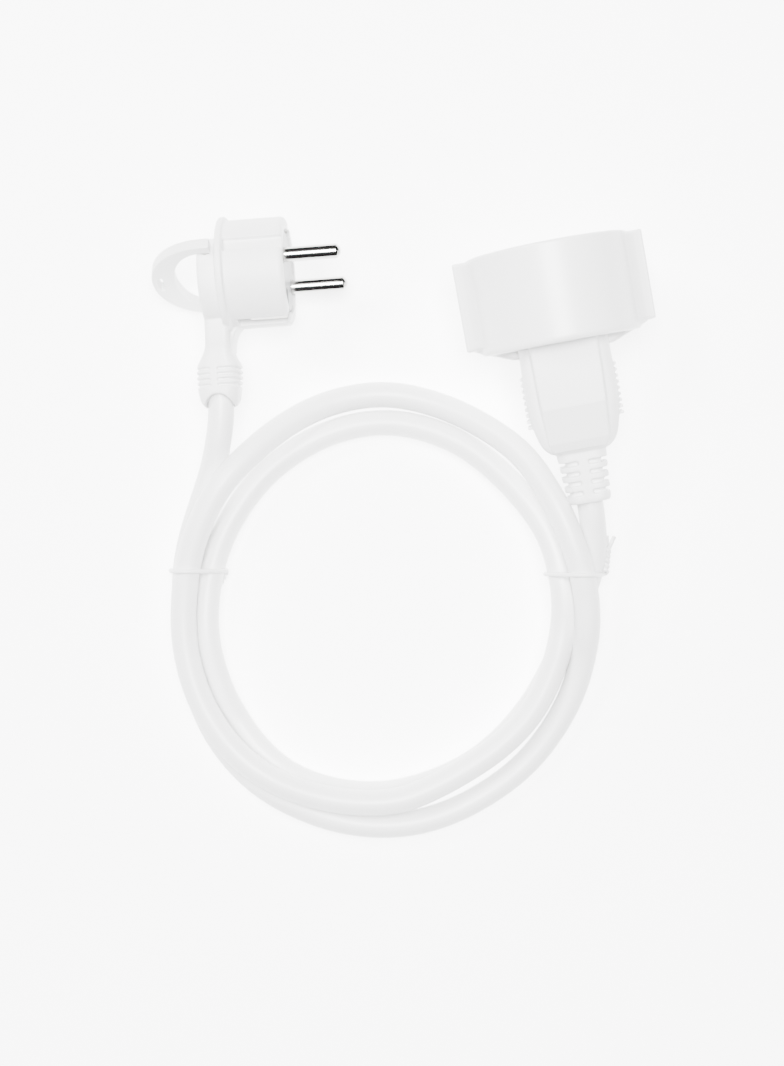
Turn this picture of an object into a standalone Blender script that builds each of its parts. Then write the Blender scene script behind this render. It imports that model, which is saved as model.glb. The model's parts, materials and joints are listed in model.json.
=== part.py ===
"""White extension cord: angled earthed plug with a pull ring, coiled cable, in-line earthed connector.

Metres, +Z up. The table is z = 0 and the origin is under the middle of the plug and connector.
The plug frame has +X along the pins and -Y along the cable neck; the pin frame is turned about X,
so that its Y is the line of the pins. The connector frame has +Y out of the mouth and +X along the ears.
"""

import math

import bmesh
import bpy
from mathutils import Matrix, Vector

GAP = 0.0003  # between pieces that touch
SIDES = 40  # facets of a large round piece
SMALL_SIDES = 16  # facets of a pin, hole or wire hole

# Placing on the table
PLUG_PLACE = (-0.0591, 0.0293, 0.01920)
PLUG_TILT, PLUG_PITCH = 3.7, 4.0
CONNECTOR_PLACE = (0.0471, 0.0358, 0.02937)
CONNECTOR_TILT, CONNECTOR_ROLL, CONNECTOR_PITCH = 10.0, 6.0, 5.0
PIN_ROLL = 65.0  # turn of the pin line about the plug axis, from the neck line

# Plug
CARRIER_RADIUS = 0.0136
CARRIER_DEPTH = 0.0125
PLUG_WALL = 0.0041
PLUG_RADIUS = CARRIER_RADIUS + GAP + PLUG_WALL
BODY_LENGTH = 0.0195
FLANGE_RADIUS = PLUG_RADIUS + 0.0013
FLANGE_THICK = 0.0024
POCKET_START = 0.0030
CHAMBER_RADIUS = 0.0079
PIN_SPACING = 0.019
PIN_RADIUS = 0.0024
PIN_LENGTH = 0.019
PIN_TAIL = 0.0025
PIN_TAIL_RADIUS = 0.0015
CARRIER_RECESS = 0.0006
GUIDE_WIDTH = 0.0046
GUIDE_DEPTH = 0.0017
CLIP_WIDTH = 0.0056
CLIP_THICK = 0.0008
CLIP_LENGTH = 0.0150
CLIP_SINK = 0.0016  # of the earth clip below the plug's round side
EARTH_HOLE_RADIUS = 0.00245
EARTH_HOLE_OFFSET = 0.0102
EARTH_SLEEVE_WALL = 0.0005
EARTH_SLEEVE_DEPTH = 0.0115
NECK_CENTRE_X = -0.0037
PLUG_BOOT_END = 0.0435

PLUG_GROOVE_START = 0.0312
PLUG_GROOVE_PITCH = 0.0018
PLUG_GROOVE_HEIGHT = 0.0007
PLUG_GROOVE_COUNT = 4

# Pull ring, and the slab that it hinges on
HINGE_X = -0.0034
RING_THICK = 0.0038
RING_HALF = FLANGE_RADIUS
RING_LEG = 0.0033
RING_REACH = 0.0205
RING_BAND = 0.0078  # width of the ring at its far end
RING_CLEARANCE = 0.0008
PEG_RADIUS = 0.0012
PEG_LENGTH = 0.0020
SLAB_THICK = 0.0064
SLAB_HALF = RING_HALF - RING_LEG - RING_CLEARANCE
SLAB_END = 0.0110
SLAB_CORNER = 0.0034

# Cable
CABLE_RADIUS = 0.00435
CABLE_ENTRY = 0.0130
WIRE_RADIUS = 0.00130
COIL_CENTRE = (-0.0061, -0.0832)
COIL_OUTER = 0.0710
COIL_INNER = 0.0535
COIL_HEIGHT = 0.0150
COIL_STRETCH = 1.06
TIE_RADIUS = 0.0007
TIE_CLEARANCE = 0.0010
TIE_ANGLES = {"tie_left": 170.0, "tie_right": 10.0}

# Connector
SOCKET_RADIUS = 0.01975
SOCKET_DEPTH = 0.0175
INSERT_WALL = 0.0022
FLOOR_THICK = 0.0030
CAP_THICK = 0.0025
CONTACT_HOLE_RADIUS = 0.0028
CONTACT_BORE = 0.0026
CONTACT_WALL = 0.0005
CONTACT_DEPTH = 0.0100
BOW_WIDTH = 0.0070
BOW_THICK = 0.0008
BOW_REACH = SOCKET_RADIUS + 0.00075
BORE_DEPTH = SOCKET_DEPTH + FLOOR_THICK + CAP_THICK + CONTACT_DEPTH
DRUM_WALL = 0.00425
DRUM_RADIUS = SOCKET_RADIUS + INSERT_WALL + GAP + DRUM_WALL
DRUM_BACK = 0.0020
DRUM_DEPTH = BORE_DEPTH + DRUM_BACK
EAR_REACH = 0.0045
EAR_HALF = DRUM_RADIUS + EAR_REACH
EAR_THICK = 0.0110
EAR_DEPTH = 0.0295
GRIP_LENGTH = 0.0325
GRIP_WIDTH = 0.0295
BOOT_LENGTH = 0.0170
GRIP_END = DRUM_DEPTH + GAP + GRIP_LENGTH + BOOT_LENGTH
SPIGOT_RADIUS = 0.0095
SPIGOT_BORE = 0.0082
CONNECTOR_SHEATH_END = GRIP_END - GAP - 2 * CABLE_ENTRY
EARTH_WIRE_X = 0.0062
SLOT_PITCH = 0.0033
SLOT_HEIGHT = 0.0015
SLOT_DEPTH = 0.0022
SLOT_COUNT = 4

# Cord routes from each boot to the coil, as chosen on the table
PLUG_LEAD = [
    (-0.0612, -0.0250, 0.0172),
    (-0.0638, -0.0345, 0.0134),
    (-0.0672, -0.0440, 0.0100),
]
CONNECTOR_LEAD = [
    (0.0623, -0.0540, 0.0211),
    (0.0627, -0.0595, 0.0200),
]

WHITE = (0.86, 0.86, 0.85)
GREY_WHITE = (0.74, 0.75, 0.75)
NICKEL = (0.72, 0.71, 0.68)
BRASS = (0.75, 0.58, 0.28)
MATERIALS = {
    "soft_white": (WHITE, 0.45, 0.0),
    "hard_white": (WHITE, 0.32, 0.0),
    "cable_white": (WHITE, 0.42, 0.0),
    "grey_white": (GREY_WHITE, 0.4, 0.0),
    "nickel": (NICKEL, 0.2, 1.0),
    "brass": (BRASS, 0.3, 1.0),
    "wire_brown": ((0.22, 0.09, 0.04), 0.45, 0.0),
    "wire_blue": ((0.05, 0.18, 0.55), 0.45, 0.0),
    "wire_earth": ((0.30, 0.52, 0.08), 0.45, 0.0),
}


def clear_scene():
    for obj in list(bpy.data.objects):
        bpy.data.objects.remove(obj, do_unlink=True)


def new_collection(name):
    collection = bpy.data.collections.new(name)
    bpy.context.scene.collection.children.link(collection)
    return collection


def new_material(name, colour, roughness, metallic):
    material = bpy.data.materials.new(name)
    material.use_nodes = True
    shader = material.node_tree.nodes["Principled BSDF"]
    shader.inputs["Base Color"].default_value = (*colour, 1.0)
    shader.inputs["Roughness"].default_value = roughness
    shader.inputs["Metallic"].default_value = metallic
    return material


def new_frame(name, place, angles=(0.0, 0.0, 0.0), parent=None):
    """An empty that carries pieces, turned by degrees about X, then Y, then Z."""
    frame = bpy.data.objects.new(name, None)
    PARTS.objects.link(frame)
    frame.location = place
    frame.rotation_euler = [math.radians(angle) for angle in angles]
    frame.parent = parent
    return frame


def add_object(name, mesh, frame, place=(0, 0, 0), turn=(0, 0, 0), slot=None):
    """A piece in its frame; without a material slot it is a cutter or a shape to join."""
    obj = bpy.data.objects.new(name, mesh)
    obj.parent = frame
    obj.location = place
    obj.rotation_euler = [math.radians(angle) for angle in turn]
    if slot:
        PARTS.objects.link(obj)
        mesh.materials.append(new_material(name, *MATERIALS[slot]))
    else:
        TOOLS.objects.link(obj)
        obj.hide_render = True
        obj.display_type = "WIRE"
    return obj


def mesh_from(name, shape):
    bmesh.ops.recalc_face_normals(shape, faces=shape.faces)
    mesh = bpy.data.meshes.new(name)
    shape.to_mesh(mesh)
    shape.free()
    mesh.shade_smooth()
    mesh.set_sharp_from_angle(angle=math.radians(35))
    return mesh


def block(name, low, high, bevel=0.0):
    """A box between two corners, with its edges rounded if bevel is set."""
    low, high = Vector(low), Vector(high)
    shape = bmesh.new()
    bmesh.ops.create_cube(shape, size=1.0)
    bmesh.ops.scale(shape, vec=high - low, verts=shape.verts)
    bmesh.ops.translate(shape, vec=(low + high) / 2, verts=shape.verts)
    if bevel:
        bmesh.ops.bevel(shape, geom=shape.edges[:], offset=bevel, segments=2, profile=0.5,
                        affect="EDGES", clamp_overlap=True)
    return mesh_from(name, shape)


def rod(name, radius, start, end, sides=SMALL_SIDES, end_radius=None):
    """A cylinder or cone from start to end."""
    start, end = Vector(start), Vector(end)
    shape = bmesh.new()
    bmesh.ops.create_cone(shape, cap_ends=True, segments=sides, radius1=radius,
                          radius2=radius if end_radius is None else end_radius,
                          depth=(end - start).length)
    turn = Vector((0, 0, 1)).rotation_difference(end - start).to_matrix()
    bmesh.ops.rotate(shape, matrix=turn, verts=shape.verts)
    bmesh.ops.translate(shape, vec=(start + end) / 2, verts=shape.verts)
    return mesh_from(name, shape)


def turned(name, profile, axis, sides=SIDES):
    """A solid of revolution about X, Y or Z from (distance along the axis, radius) points."""
    shape = bmesh.new()
    along = Vector([float(letter == axis) for letter in "XYZ"])
    across = Vector((0, 0, 1)) if axis != "Z" else Vector((1, 0, 0))
    points = [shape.verts.new(along * step + across * radius) for step, radius in profile]
    edges = [shape.edges.new(pair) for pair in zip(points, points[1:])]
    if profile[0][1] > 0:
        edges.append(shape.edges.new((points[-1], points[0])))
    bmesh.ops.spin(shape, geom=points + edges, cent=(0, 0, 0), axis=along,
                   angle=math.tau, steps=sides, use_merge=True)
    bmesh.ops.remove_doubles(shape, verts=shape.verts, dist=0.000001)
    return mesh_from(name, shape)


def rounded_rectangle(width, height, radius, corner_steps=3):
    """Points of a rectangle with round corners, centred on (0, 0)."""
    points = []
    for corner in range(4):
        sign_x = 1 if corner in (0, 3) else -1
        sign_y = 1 if corner in (0, 1) else -1
        centre = (sign_x * (width / 2 - radius), sign_y * (height / 2 - radius))
        for step in range(corner_steps + 1):
            angle = math.radians(90 * corner + 90 * step / corner_steps)
            points.append((centre[0] + radius * math.cos(angle), centre[1] + radius * math.sin(angle)))
    return points


def loft(name, sections):
    """A closed solid through sections that hold the same number of points."""
    shape = bmesh.new()
    rings = [[shape.verts.new(point) for point in section] for section in sections]
    count = len(rings[0])
    for near, far in zip(rings, rings[1:]):
        for i in range(count):
            shape.faces.new((near[i], near[(i + 1) % count], far[(i + 1) % count], far[i]))
    shape.faces.new(rings[0])
    shape.faces.new(rings[-1])
    return mesh_from(name, shape)


def plate(name, outline, thickness, plane_turn):
    """A flat outline with a thickness, made as a filled curve and turned into a mesh."""
    curve = bpy.data.curves.new(name, "CURVE")
    curve.dimensions = "2D"
    curve.fill_mode = "BOTH"
    curve.extrude = thickness / 2
    spline = curve.splines.new("POLY")
    spline.points.add(len(outline) - 1)
    for point, (x, y) in zip(spline.points, outline):
        point.co = (x, y, 0, 1)
    spline.use_cyclic_u = True
    return meshed(name, curve, plane_turn)


def tube(name, points, radius, resolution=2):
    """A round wire or cable along points, as a mesh with closed ends."""
    curve = bpy.data.curves.new(name, "CURVE")
    curve.dimensions = "3D"
    curve.bevel_depth = radius
    curve.bevel_resolution = resolution
    curve.use_fill_caps = True
    spline = curve.splines.new("POLY")
    spline.points.add(len(points) - 1)
    for point, place in zip(spline.points, points):
        point.co = (*place, 1)
    return meshed(name, curve, Matrix.Identity(4))


def meshed(name, curve, turn):
    """The mesh of a curve with its caps welded to its sides."""
    holder = bpy.data.objects.new(name, curve)
    bpy.context.scene.collection.objects.link(holder)
    graph = bpy.context.evaluated_depsgraph_get()
    mesh = bpy.data.meshes.new_from_object(holder.evaluated_get(graph))
    bpy.data.objects.remove(holder, do_unlink=True)
    shape = bmesh.new()
    shape.from_mesh(mesh)
    bmesh.ops.remove_doubles(shape, verts=shape.verts, dist=0.000001)
    bmesh.ops.transform(shape, matrix=turn, verts=shape.verts)
    return mesh_from(name, shape)


def smooth_route(points, spacing):
    """Points at an even spacing along a smooth curve through the route's own points."""
    padded = [2 * Vector(points[0]) - Vector(points[1]), *map(Vector, points),
              2 * Vector(points[-1]) - Vector(points[-2])]
    dense = []
    for a, b, c, d in zip(padded, padded[1:], padded[2:], padded[3:]):
        for step in range(20):
            t = step / 20
            dense.append(0.5 * (2 * b + (c - a) * t + (2 * a - 5 * b + 4 * c - d) * t ** 2
                                + (3 * b - 3 * c + d - a) * t ** 3))
    dense.append(padded[-2])
    length = sum((b - a).length for a, b in zip(dense, dense[1:]))
    count = max(2, round(length / spacing))
    chosen, walked = [dense[0]], 0.0
    for a, b in zip(dense, dense[1:]):
        walked += (b - a).length
        if walked >= len(chosen) * length / count - 1e-9 and len(chosen) < count:
            chosen.append(b)
    return [*chosen, dense[-1]]


def combine(obj, operation, tools):
    for tool in tools:
        modifier = obj.modifiers.new(tool.name, "BOOLEAN")
        modifier.operation = operation
        modifier.solver = "EXACT"
        modifier.object = tool


def section_across(distance, centre_x, width_x, width_z, radius):
    """A rounded section of a neck that runs along -Y."""
    return [(centre_x + x, -distance, z) for x, z in rounded_rectangle(width_x, width_z, radius)]


def plug_body(plug, pins):
    """The soft moulding: body and flange, back slab, neck, grooved boot, and its hollows."""
    front = FLANGE_THICK + BODY_LENGTH
    profile = [(0, 0), (0, FLANGE_RADIUS - 0.0008), (0.0008, FLANGE_RADIUS),
               (FLANGE_THICK - 0.0008, FLANGE_RADIUS), (FLANGE_THICK, PLUG_RADIUS + 0.0004),
               (FLANGE_THICK + 0.0006, PLUG_RADIUS), (front - 0.0014, PLUG_RADIUS),
               (front - 0.0004, PLUG_RADIUS - 0.0005), (front, PLUG_RADIUS - 0.0014), (front, 0)]
    body = add_object("plug_body", turned("plug_body", profile, "X"), plug, slot="soft_white")

    slab_outline = []
    rise = SLAB_END - SLAB_CORNER
    end_radius = (SLAB_HALF ** 2 + rise ** 2) / (2 * rise)
    half_angle = math.asin(SLAB_HALF / end_radius)
    for step in range(9):  # the end that the ring folds over
        angle = half_angle * (1 - step / 4)
        slab_outline.append((end_radius * math.sin(angle), end_radius * (1 - math.cos(angle)) - SLAB_END))
    for step in range(13):  # the end towards the neck
        angle = math.radians(180 + 180 * step / 12)
        slab_outline.append((SLAB_HALF * math.cos(angle), 0.002 - SLAB_HALF * math.sin(angle)))
    turn = Matrix.Rotation(math.radians(90), 4, "Z") @ Matrix.Rotation(math.radians(90), 4, "X")
    thickness = SLAB_THICK + FLANGE_THICK / 2
    slab = plate("slab", slab_outline, thickness, turn)
    slab_tool = add_object("slab", slab, pins, (FLANGE_THICK / 4 - SLAB_THICK / 2, 0, 0))

    sections = [section_across(*row) for row in (
        (0.0040, -0.0021, 0.0080, 0.0180, 0.0020),
        (0.0200, -0.0025, 0.0079, 0.0160, 0.0021),
        (0.0245, -0.0029, 0.0084, 0.0150, 0.0026),
        (0.0275, -0.0031, 0.0112, 0.0147, 0.0034),
        (0.0305, -0.0033, 0.0142, 0.0145, 0.0042),
        (0.0375, NECK_CENTRE_X, 0.0138, 0.0141, 0.0044),
        (0.0415, NECK_CENTRE_X, 0.0124, 0.0126, 0.0048),
        (PLUG_BOOT_END, NECK_CENTRE_X, 0.0106, 0.0106, 0.0050))]
    neck = add_object("neck", loft("neck", sections), plug)
    web_outline = [(0.0000, -0.0140), (0.0062, -0.0140), (0.0046, -0.0176), (0.0030, -0.0195),
                   (0.0020, -0.0222), (0.0018, -0.0250), (0.0000, -0.0260)]
    web = add_object("web", plate("web", web_outline, 0.0100, Matrix.Identity(4)), plug,
                     (0, 0, -0.0012))
    combine(body, "UNION", [slab_tool, neck, web])

    pocket = add_object("pocket", rod("pocket", CARRIER_RADIUS + GAP, (POCKET_START, 0, 0),
                                      (front + 0.001, 0, 0), SIDES), plug)
    chamber = add_object("chamber", rod("chamber", CHAMBER_RADIUS, (-0.0038, 0, 0),
                                        (POCKET_START + 0.0005, 0, 0), 28, CHAMBER_RADIUS + 0.0050), plug)
    channel = add_object("channel", block("channel", (-0.0036, -0.0320, -0.0050),
                                          (-0.0006, -0.0050, 0.0050)), plug)
    entry = add_object("entry", rod("entry", CABLE_RADIUS + GAP, (NECK_CENTRE_X, -PLUG_BOOT_END - 0.001, 0),
                                    (NECK_CENTRE_X, CABLE_ENTRY - PLUG_BOOT_END, 0), 20), plug)
    cutters = [pocket, chamber, channel, entry]
    for side in (-1, 1):
        groove = block("guide", (FLANGE_THICK + 0.0003, PLUG_RADIUS - GUIDE_DEPTH, -GUIDE_WIDTH / 2),
                       (front + 0.001, PLUG_RADIUS + 0.002, GUIDE_WIDTH / 2))
        cutters.append(add_object("guide", groove, pins, turn=(0 if side > 0 else 180, 0, 0)))
        half = CLIP_WIDTH / 2 + GAP
        recess = block("clip_recess", (front - CLIP_LENGTH - 0.002, -half, CARRIER_RADIUS - 0.001),
                       (front + 0.001, half, PLUG_RADIUS + 0.002))
        cutters.append(add_object("clip_recess", recess, pins, turn=(0 if side > 0 else 180, 0, 0)))
        reach = RING_HALF - RING_LEG - PEG_LENGTH - 2 * GAP
        hole = rod("peg_hole", PEG_RADIUS + GAP, (HINGE_X, side * reach, 0),
                   (HINGE_X, side * (RING_HALF + 0.001), 0))
        cutters.append(add_object("peg_hole", hole, pins))
    for number in range(PLUG_GROOVE_COUNT):
        distance = PLUG_GROOVE_START + PLUG_GROOVE_PITCH * number
        for low, high in ((-0.0120, -0.0060), (-0.0022, 0.0060)):
            groove = block("boot_groove", (low, -distance - PLUG_GROOVE_HEIGHT / 2, 0.0052),
                           (high, PLUG_GROOVE_HEIGHT / 2 - distance, 0.0090))
            cutters.append(add_object("boot_groove", groove, plug))
    combine(body, "DIFFERENCE", cutters)


def plug_inside(pins):
    """The carrier with the pins, the earth strap and the earth sleeve."""
    front = FLANGE_THICK + BODY_LENGTH - CARRIER_RECESS
    back = front - CARRIER_DEPTH
    face = [(back, 0), (back, CARRIER_RADIUS), (front - 0.0008, CARRIER_RADIUS),
            (front, CARRIER_RADIUS - 0.0008), (front, 0)]
    carrier = add_object("plug_carrier", turned("plug_carrier", face, "X"), pins, slot="grey_white")
    cutters = []
    for side, name in ((1, "plug_pin_live"), (-1, "plug_pin_neutral")):
        y = side * PIN_SPACING / 2
        profile = [(back - PIN_TAIL, 0), (back - PIN_TAIL, PIN_TAIL_RADIUS), (back - GAP, PIN_TAIL_RADIUS),
                   (back - GAP, PIN_RADIUS), (front + PIN_LENGTH - 0.0014, PIN_RADIUS),
                   (front + PIN_LENGTH - 0.0005, PIN_RADIUS - 0.0006),
                   (front + PIN_LENGTH, PIN_RADIUS - 0.0014), (front + PIN_LENGTH, 0)]
        add_object(name, turned(name, profile, "X", 24), pins, (0, y, 0), slot="nickel")
        hole = rod("pin_hole", PIN_RADIUS + GAP, (back - 0.001, y, 0), (front + 0.001, y, 0), 24)
        cutters.append(add_object("pin_hole", hole, pins))
    sleeve_radius = EARTH_HOLE_RADIUS + EARTH_SLEEVE_WALL
    cutters.append(add_object("sleeve_hole", rod(
        "sleeve_hole", sleeve_radius + GAP, (back - 0.001, 0, EARTH_HOLE_OFFSET),
        (front + 0.001, 0, EARTH_HOLE_OFFSET), 24), pins))
    slot = block("strap_slot", (back - 0.001, -CLIP_WIDTH / 2 - GAP, -CARRIER_RADIUS - 0.001),
                 (back + CLIP_THICK + GAP, CLIP_WIDTH / 2 + GAP, CARRIER_RADIUS + 0.001))
    cutters.append(add_object("strap_slot", slot, pins))
    combine(carrier, "DIFFERENCE", cutters)

    sleeve = [(front - EARTH_SLEEVE_DEPTH, sleeve_radius), (front - GAP, sleeve_radius),
              (front - GAP, EARTH_HOLE_RADIUS), (front - EARTH_SLEEVE_DEPTH, EARTH_HOLE_RADIUS)]
    add_object("plug_earth_sleeve", turned("plug_earth_sleeve", sleeve, "X", 20), pins,
               (0, 0, EARTH_HOLE_OFFSET), slot="nickel")
    clip_radius = PLUG_RADIUS - CLIP_SINK
    strap = add_object("plug_earth_strap", block(
        "plug_earth_strap", (back, -CLIP_WIDTH / 2, -clip_radius),
        (back + CLIP_THICK, CLIP_WIDTH / 2, clip_radius)), pins, slot="nickel")
    arms = []
    for side in (-1, 1):
        low, high = sorted((side * clip_radius, side * (clip_radius - CLIP_THICK)))
        arm = block("strap_arm", (back + CLIP_THICK / 2, -CLIP_WIDTH / 2, low),
                    (FLANGE_THICK + BODY_LENGTH - 0.0008, CLIP_WIDTH / 2, high))
        arms.append(add_object("strap_arm", arm, pins))
    combine(strap, "UNION", arms)


def plug_wires(plug):
    """Three insulated wires from the cable's end in the boot to the pins and the strap."""
    sheath_end = CABLE_ENTRY - PLUG_BOOT_END
    back = FLANGE_THICK + BODY_LENGTH - CARRIER_RECESS - CARRIER_DEPTH
    roll = math.radians(PIN_ROLL)
    along, clip = Vector((0, math.cos(roll), math.sin(roll))), Vector((0, -math.sin(roll), math.cos(roll)))
    spacing = 2 * WIRE_RADIUS + GAP
    ends = {
        "plug_wire_brown": (along * PIN_SPACING / 2, spacing),
        "plug_wire_earth": (clip * 0.0035, 0.0),
        "plug_wire_blue": (along * -PIN_SPACING / 2, -spacing),
    }
    for name, (target, z) in ends.items():
        stop = back - (0.0008 if name == "plug_wire_earth" else PIN_TAIL) - WIRE_RADIUS - GAP
        x = -0.0022
        route = [(x, sheath_end + GAP + 0.0001, z), (x, -0.0220, z), (x, -0.0120, z)]
        bend_x = x + 0.0008
        middle = Vector((bend_x, -0.0060, z)).lerp(Vector((bend_x, target.y, target.z)), 0.15)
        route += [tuple(middle), (stop - 0.0012, target.y, target.z), (stop + 0.0009, target.y, target.z)]
        add_object(name, tube(name, smooth_route(route, 0.0035), WIRE_RADIUS, 1), plug,
                   slot=name.replace("plug_", ""))


def pull_ring(pins):
    """The bail in the plane of the pin line and the plug axis, hinged on two pegs in the slab."""
    outer, inner = [], []
    for step in range(25):
        angle = math.radians(180 * step / 24)
        outer.append((-RING_REACH * math.sin(angle) ** 0.9, RING_HALF * math.cos(angle)))
        inner.append((-(RING_REACH - RING_BAND) * math.sin(angle) ** 0.8,
                      (RING_HALF - RING_LEG) * math.cos(angle)))
    ahead = RING_THICK / 2
    outline = [(ahead, RING_HALF), *outer, (ahead, -RING_HALF), (ahead, RING_LEG - RING_HALF),
               *reversed(inner), (ahead, RING_HALF - RING_LEG)]
    hinge = new_frame("ring_hinge", (HINGE_X, 0, 0), parent=pins)
    ring = add_object("pull_ring", plate("pull_ring", outline, RING_THICK, Matrix.Identity(4)), hinge,
                      slot="soft_white")
    pegs = []
    for side in (-1, 1):
        peg = rod("peg", PEG_RADIUS, (0, side * (RING_HALF - RING_LEG - PEG_LENGTH), 0),
                  (0, side * (RING_HALF - RING_LEG / 2), 0))
        pegs.append(add_object("peg", peg, hinge))
    hang = plate("hang_slot", [(-0.0012, -0.0026), (0.0002, -0.0026), (0.0002, 0.0026), (-0.0012, 0.0026)],
                 RING_THICK + 0.002, Matrix.Identity(4))
    combine(ring, "UNION", pegs)
    combine(ring, "DIFFERENCE", [add_object("hang_slot", hang, hinge, (0.0022 - RING_REACH, 0, 0))])


def connector_housing(frame):
    """The hard drum with two flat ears, open at the mouth and at the back for the grip."""
    profile = [(0, 0), (0, DRUM_RADIUS - 0.0006), (-0.0006, DRUM_RADIUS),
               (0.0012 - DRUM_DEPTH, DRUM_RADIUS), (-DRUM_DEPTH, DRUM_RADIUS - 0.0012), (-DRUM_DEPTH, 0)]
    housing = add_object("connector_housing", turned("connector_housing", profile, "Y", 48), frame,
                         slot="hard_white")
    ears = block("ears", (-EAR_HALF, -EAR_DEPTH, -EAR_THICK / 2), (EAR_HALF, -0.0005, EAR_THICK / 2), 0.001)
    shoulder = loft("shoulder", [
        section_across(EAR_DEPTH - 0.0015, 0, 2 * EAR_HALF - 0.003, EAR_THICK - 0.002, 0.002),
        section_across(DRUM_DEPTH - GAP, 0, GRIP_WIDTH + 0.003, EAR_THICK - 0.002, 0.002)])
    combine(housing, "UNION", [add_object("ears", ears, frame), add_object("shoulder", shoulder, frame)])
    bore = rod("insert_bore", DRUM_RADIUS - DRUM_WALL, (0, 0.001, 0), (0, -BORE_DEPTH, 0), SIDES)
    ear_pockets = block("ear_pockets", (0.0025 - EAR_HALF, -EAR_DEPTH + 0.003, -BOW_WIDTH / 2 - 0.0005),
                        (EAR_HALF - 0.0025, 0.001, BOW_WIDTH / 2 + 0.0005))
    grip_hole = rod("grip_hole", SPIGOT_RADIUS + GAP, (0, 0.001 - BORE_DEPTH, 0),
                    (0, -DRUM_DEPTH - 0.004, 0), 28)
    combine(housing, "DIFFERENCE", [
        add_object("insert_bore", bore, frame), add_object("ear_pockets", ear_pockets, frame),
        add_object("grip_hole", grip_hole, frame)])


def connector_inside(frame):
    """The socket cup, its back cap, the two pin contacts and the earth bow."""
    radius = SOCKET_RADIUS + INSERT_WALL
    floor_back = SOCKET_DEPTH + FLOOR_THICK
    cup = [(-floor_back, 0), (-floor_back, radius), (-0.0005, radius), (-0.0005, SOCKET_RADIUS + 0.0008),
           (-0.0015, SOCKET_RADIUS), (-SOCKET_DEPTH, SOCKET_RADIUS), (-SOCKET_DEPTH, 0)]
    insert = add_object("connector_insert", turned("connector_insert", cup, "Y"), frame, slot="hard_white")
    ribs, cutters = [], []
    for side in (-1, 1):
        low, high = sorted((side * (SOCKET_RADIUS - 0.0013), side * (SOCKET_RADIUS + 0.001)))
        rib = block("guide_rib", (-0.0018, -SOCKET_DEPTH - 0.001, low), (0.0018, -0.0022, high))
        ribs.append(add_object("guide_rib", rib, frame))
        z = side * PIN_SPACING / 2
        cutters.append(add_object("contact_hole", rod(
            "contact_hole", CONTACT_HOLE_RADIUS, (0, -floor_back - 0.001, z),
            (0, 0.001 - SOCKET_DEPTH, z), 20), frame))
        low, high = sorted((side * (SOCKET_RADIUS - 0.003), side * (radius + 0.002)))
        cutters.append(add_object("bow_slot", block(
            "bow_slot", (low, -SOCKET_DEPTH - 0.0003, -BOW_WIDTH / 2 - GAP),
            (high, -0.0040, BOW_WIDTH / 2 + GAP)), frame))
        cutters.append(add_object("bow_floor_slot", block(
            "bow_floor_slot", (low, -floor_back - 0.001, -BOW_WIDTH / 2 - GAP),
            (high, -SOCKET_DEPTH, BOW_WIDTH / 2 + GAP)), frame))
    combine(insert, "UNION", ribs)
    combine(insert, "DIFFERENCE", cutters)

    bow_back = floor_back + GAP + BOW_THICK
    bow = add_object("connector_earth_bow", block(
        "connector_earth_bow", (-BOW_REACH, -bow_back, -BOW_WIDTH / 2),
        (BOW_REACH, -floor_back - GAP, BOW_WIDTH / 2)), frame, slot="nickel")
    arms = []
    for side in (-1, 1):
        sprung = BOW_REACH - 0.0019
        outline = [(BOW_REACH - BOW_THICK, -bow_back + 0.0004), (BOW_REACH, -bow_back + 0.0004),
                   (BOW_REACH, -0.0120), (sprung, -0.0085), (BOW_REACH, -0.0046),
                   (BOW_REACH - BOW_THICK, -0.0044), (sprung - BOW_THICK, -0.0085),
                   (BOW_REACH - BOW_THICK, -0.0120)]
        arm = plate("bow_arm", [(side * x, y) for x, y in outline], BOW_WIDTH, Matrix.Identity(4))
        arms.append(add_object("bow_arm", arm, frame))
    combine(bow, "UNION", arms)

    tube_start = floor_back + GAP
    contact_outer = CONTACT_HOLE_RADIUS + CONTACT_WALL
    cap_front = bow_back + GAP
    cap_profile = [(-cap_front - CAP_THICK, 0), (-cap_front - CAP_THICK, radius - 0.0005),
                   (-cap_front, radius - 0.0005), (-cap_front, 0)]
    cap = add_object("connector_insert_cap", turned("connector_insert_cap", cap_profile, "Y"), frame,
                     slot="grey_white")
    cap_cutters = []
    for side, name in ((1, "connector_contact_live"), (-1, "connector_contact_neutral")):
        z = side * PIN_SPACING / 2
        end = tube_start + CONTACT_DEPTH
        floor = 0.0008 - end
        profile = [(-end, 0), (-end, contact_outer), (-tube_start, contact_outer),
                   (-tube_start, CONTACT_BORE), (floor, CONTACT_BORE), (floor, 0)]
        add_object(name, turned(name, profile, "Y", 20), frame, (0, 0, z), slot="brass")
        hole = rod("cap_hole", contact_outer + GAP, (0, -cap_front - CAP_THICK - 0.001, z),
                   (0, 0.001 - cap_front, z), 20)
        cap_cutters.append(add_object("cap_hole", hole, frame))
    cap_cutters.append(add_object("cap_earth_hole", rod(
        "cap_earth_hole", WIRE_RADIUS + 0.0004, (EARTH_WIRE_X, -cap_front - CAP_THICK - 0.001, 0),
        (EARTH_WIRE_X, 0.001 - cap_front, 0)), frame))
    combine(cap, "DIFFERENCE", cap_cutters)


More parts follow.
